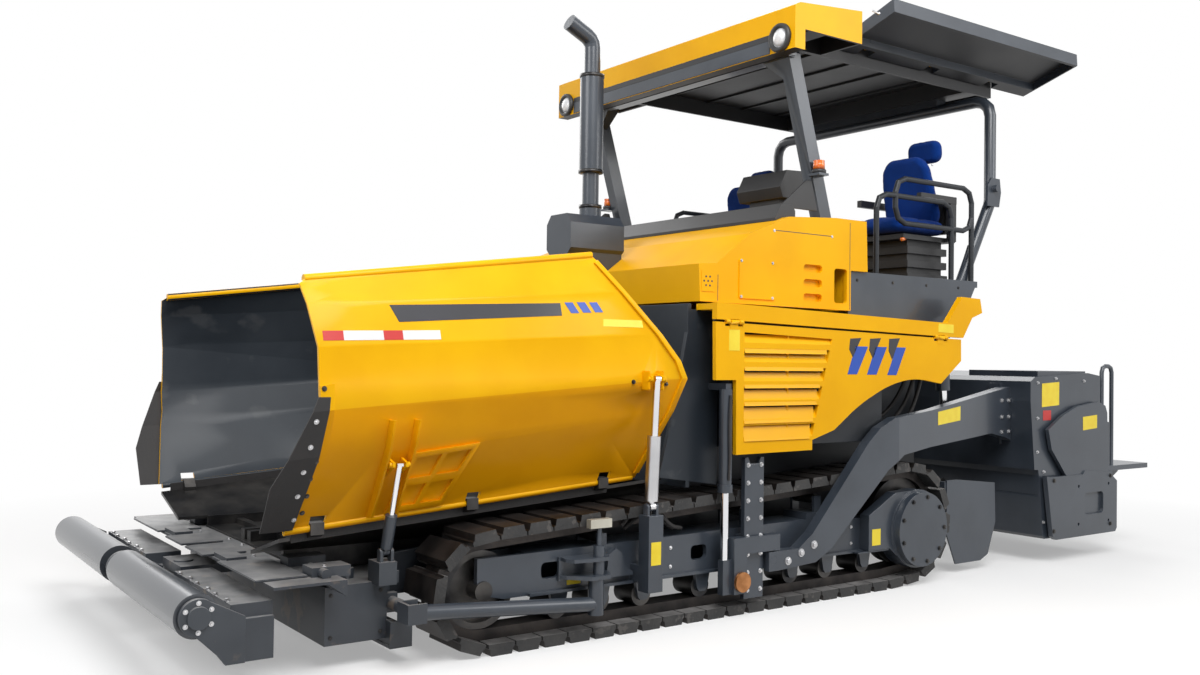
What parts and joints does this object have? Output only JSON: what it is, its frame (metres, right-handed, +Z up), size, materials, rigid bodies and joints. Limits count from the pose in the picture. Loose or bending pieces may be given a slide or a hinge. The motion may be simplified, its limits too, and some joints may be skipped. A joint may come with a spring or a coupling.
{
  "type": "asphalt paver",
  "caption": "Tracked asphalt paver with folding hopper, push rollers, conveyor, augers, canopy over two seats and a towed extending screed.",
  "frame": {"origin": "on the ground below the middle of the machine's length and width, tracks standing on z = 0", "axes": "+X forward from screed to push rollers, +Y to the machine's left, +Z up"},
  "size_m": [7.001, 2.5616, 3.48],
  "materials": {
    "slate_paint": "satin slate grey machine paint",
    "dark_steel": "worn dark steel",
    "amber": "amber beacon lens",
    "black_paint": "matt black paint",
    "black_plastic": "moulded black plastic",
    "yellow_paint": "glossy yellow machine paint",
    "chrome": "polished chrome rod",
    "lamp": "clear lamp glass in a black case",
    "seat_fabric": "blue woven seat cover",
    "track_rubber": "worn rubber pads on steel shoes",
    "rubber": "black rubber sheet"
  },
  "bodies": {
    "tractor": {"auger_hanger": "slate_paint", "beacons": "amber", "bulkhead": "black_paint", "conveyor_floor": "dark_steel", "dash": "black_plastic", "drive_covers": "slate_paint", "engine": "black_paint", "exhaust": "black_paint", "front_beam": "slate_paint", "headlamps": "lamp", "hood": "yellow_paint", "hoops": "slate_paint", "hull": "black_paint", "lev_barrels": "slate_paint", "platform": "slate_paint", "rails": "black_paint", "roof": "yellow_paint", "seat_bases": "black_plastic", "seats": "seat_fabric", "shoulders": "yellow_paint", "stays": "slate_paint", "tow_guides": "slate_paint", "track_frames": "slate_paint", "track_l": "track_rubber", "track_r": "track_rubber", "track_wheels": "dark_steel", "wing_posts": "slate_paint"},
    "push_beam": {"push_beam": "slate_paint"},
    "tow_carriages": {"tow_carriages": "slate_paint"},
    "screed": {"screed": "slate_paint"},
    "lift_barrels": {"lift_barrels": "slate_paint"},
    "lift_rods": {"lift_rods": "chrome"},
    "console": {"console": "black_plastic"},
    "push_roller_l": {"push_roller_l": "dark_steel"},
    "wing_l": {"wing_l": "yellow_paint", "wing_flap_l": "rubber"},
    "main_barrel_l": {"main_barrel_l": "slate_paint"},
    "main_rod_l": {"main_rod_l": "chrome"},
    "front_barrel_l": {"front_barrel_l": "slate_paint"},
    "front_rod_l": {"front_rod_l": "chrome"},
    "door_l": {"door_l": "yellow_paint"},
    "canopy_flap_l": {"canopy_flap_l": "slate_paint"},
    "screed_ext_l": {"screed_ext_l": "slate_paint"},
    "auger_l": {"auger_l": "dark_steel"},
    "push_roller_r": {"push_roller_r": "dark_steel"},
    "wing_r": {"wing_r": "yellow_paint", "wing_flap_r": "rubber"},
    "main_barrel_r": {"main_barrel_r": "slate_paint"},
    "main_rod_r": {"main_rod_r": "chrome"},
    "front_barrel_r": {"front_barrel_r": "slate_paint"},
    "front_rod_r": {"front_rod_r": "chrome"},
    "door_r": {"door_r": "yellow_paint"},
    "canopy_flap_r": {"canopy_flap_r": "slate_paint"},
    "screed_ext_r": {"screed_ext_r": "slate_paint"},
    "auger_r": {"auger_r": "dark_steel"}
  },
  "joints": [
    {"name": "push_beam_swivel", "type": "hinge", "parent": "tractor", "child": "push_beam", "pos_m": [3.13, 0, 0.32], "axis": [0, 0, 1], "range_deg": [-4, 4]},
    {"name": "push_roller_l_spin", "type": "hinge", "parent": "push_beam", "child": "push_roller_l", "pos_m": [3.405, 0.6, 0.345], "axis": [0, 1, 0], "continuous": true},
    {"name": "wing_l_hinge", "type": "hinge", "parent": "tractor", "child": "wing_l", "pos_m": [2.99, 0.963, 0.6], "axis": [0.9972, 0, -0.0746], "range_deg": [-30, 30]},
    {"name": "main_barrel_l_tilt", "type": "hinge", "parent": "tractor", "child": "main_barrel_l", "pos_m": [1.235, 1.228, 0.62], "axis": [1, 0, 0], "range_deg": [-25.85, 25.85]},
    {"name": "main_rod_l_slide", "type": "slide", "parent": "main_barrel_l", "child": "main_rod_l", "axis": [0, 0.0539, 0.9985], "range_m": [-0.1434, 0.1434]},
    {"name": "front_barrel_l_tilt", "type": "hinge", "parent": "tractor", "child": "front_barrel_l", "pos_m": [2.56, 1.04, 0.49], "axis": [1, 0, 0], "range_deg": [-22.85, 22.85]},
    {"name": "front_rod_l_slide", "type": "slide", "parent": "front_barrel_l", "child": "front_rod_l", "axis": [0, 0.3052, 0.9523], "range_m": [-0.0648, 0.0648]},
    {"name": "door_l_hinge", "type": "hinge", "parent": "tractor", "child": "door_l", "pos_m": [0.846, 1.256, 1.549], "axis": [0.9997, 0, 0.0251], "range_deg": [0, 80]},
    {"name": "canopy_flap_l_hinge", "type": "hinge", "parent": "tractor", "child": "canopy_flap_l", "pos_m": [-0.5, 0.872, 3.336], "axis": [1, 0, 0], "range_deg": [0, 150]},
    {"name": "screed_ext_l_slide", "type": "slide", "parent": "screed", "child": "screed_ext_l", "axis": [0, 1, 0], "range_m": [0, 1]},
    {"name": "auger_l_spin", "type": "hinge", "parent": "tractor", "child": "auger_l", "pos_m": [-1.62, 0.5, 0.4], "axis": [0, 1, 0], "continuous": true},
    {"name": "push_roller_r_spin", "type": "hinge", "parent": "push_beam", "child": "push_roller_r", "pos_m": [3.405, -0.6, 0.345], "axis": [0, 1, 0], "continuous": true},
    {"name": "wing_r_hinge", "type": "hinge", "parent": "tractor", "child": "wing_r", "pos_m": [2.99, -0.963, 0.6], "axis": [-0.9972, 0, 0.0746], "range_deg": [-30, 30]},
    {"name": "main_barrel_r_tilt", "type": "hinge", "parent": "tractor", "child": "main_barrel_r", "pos_m": [1.235, -1.228, 0.62], "axis": [-1, 0, 0], "range_deg": [-25.85, 25.85]},
    {"name": "main_rod_r_slide", "type": "slide", "parent": "main_barrel_r", "child": "main_rod_r", "axis": [0, -0.0539, 0.9985], "range_m": [-0.1434, 0.1434]},
    {"name": "front_barrel_r_tilt", "type": "hinge", "parent": "tractor", "child": "front_barrel_r", "pos_m": [2.56, -1.04, 0.49], "axis": [-1, 0, 0], "range_deg": [-22.85, 22.85]},
    {"name": "front_rod_r_slide", "type": "slide", "parent": "front_barrel_r", "child": "front_rod_r", "axis": [0, -0.3052, 0.9523], "range_m": [-0.0648, 0.0648]},
    {"name": "door_r_hinge", "type": "hinge", "parent": "tractor", "child": "door_r", "pos_m": [0.846, -1.256, 1.549], "axis": [-0.9997, 0, -0.0251], "range_deg": [0, 80]},
    {"name": "canopy_flap_r_hinge", "type": "hinge", "parent": "tractor", "child": "canopy_flap_r", "pos_m": [-0.5, -0.872, 3.336], "axis": [-1, 0, 0], "range_deg": [0, 150]},
    {"name": "screed_ext_r_slide", "type": "slide", "parent": "screed", "child": "screed_ext_r", "axis": [0, -1, 0], "range_m": [0, 1]},
    {"name": "auger_r_spin", "type": "hinge", "parent": "tractor", "child": "auger_r", "pos_m": [-1.62, -0.5, 0.4], "axis": [0, 1, 0], "continuous": true},
    {"name": "tow_point_slide", "type": "slide", "parent": "tractor", "child": "tow_carriages", "axis": [0, 0, 1], "range_m": [0, 0.12]},
    {"name": "screed_lift", "type": "hinge", "parent": "tow_carriages", "child": "screed", "pos_m": [0.415, 0, 0.282], "axis": [0, 1, 0], "range_deg": [-3.2, 0]},
    {"name": "lift_barrel_tilt", "type": "hinge", "parent": "tractor", "child": "lift_barrels", "pos_m": [-1.3, 0, 1.57], "axis": [0, 1, 0], "range_deg": [-2.3, 2.3]},
    {"name": "lift_rod_slide", "type": "slide", "parent": "lift_barrels", "child": "lift_rods", "axis": [-0.0744, 0, -0.9972], "range_m": [-0.002, 0.107]},
    {"name": "console_slide", "type": "slide", "parent": "tractor", "child": "console", "axis": [0, 1, 0], "range_m": [-1.1, 0]}
  ],
  "couplings": [
    {"joint": "main_barrel_l_tilt", "follows": "wing_l_hinge", "ratio": 0.845},
    {"joint": "main_rod_l_slide", "follows": "wing_l_hinge", "m_per_rad": 0.27},
    {"joint": "front_barrel_l_tilt", "follows": "wing_l_hinge", "ratio": 0.745},
    {"joint": "front_rod_l_slide", "follows": "wing_l_hinge", "m_per_rad": 0.12},
    {"joint": "main_barrel_r_tilt", "follows": "wing_r_hinge", "ratio": 0.845},
    {"joint": "main_rod_r_slide", "follows": "wing_r_hinge", "m_per_rad": 0.27},
    {"joint": "front_barrel_r_tilt", "follows": "wing_r_hinge", "ratio": 0.745},
    {"joint": "front_rod_r_slide", "follows": "wing_r_hinge", "m_per_rad": 0.12},
    {"joint": "lift_barrel_tilt", "follows": "screed_lift", "ratio": -0.5613},
    {"joint": "lift_rod_slide", "follows": "screed_lift", "m_per_rad": -1.8255}
  ]
}
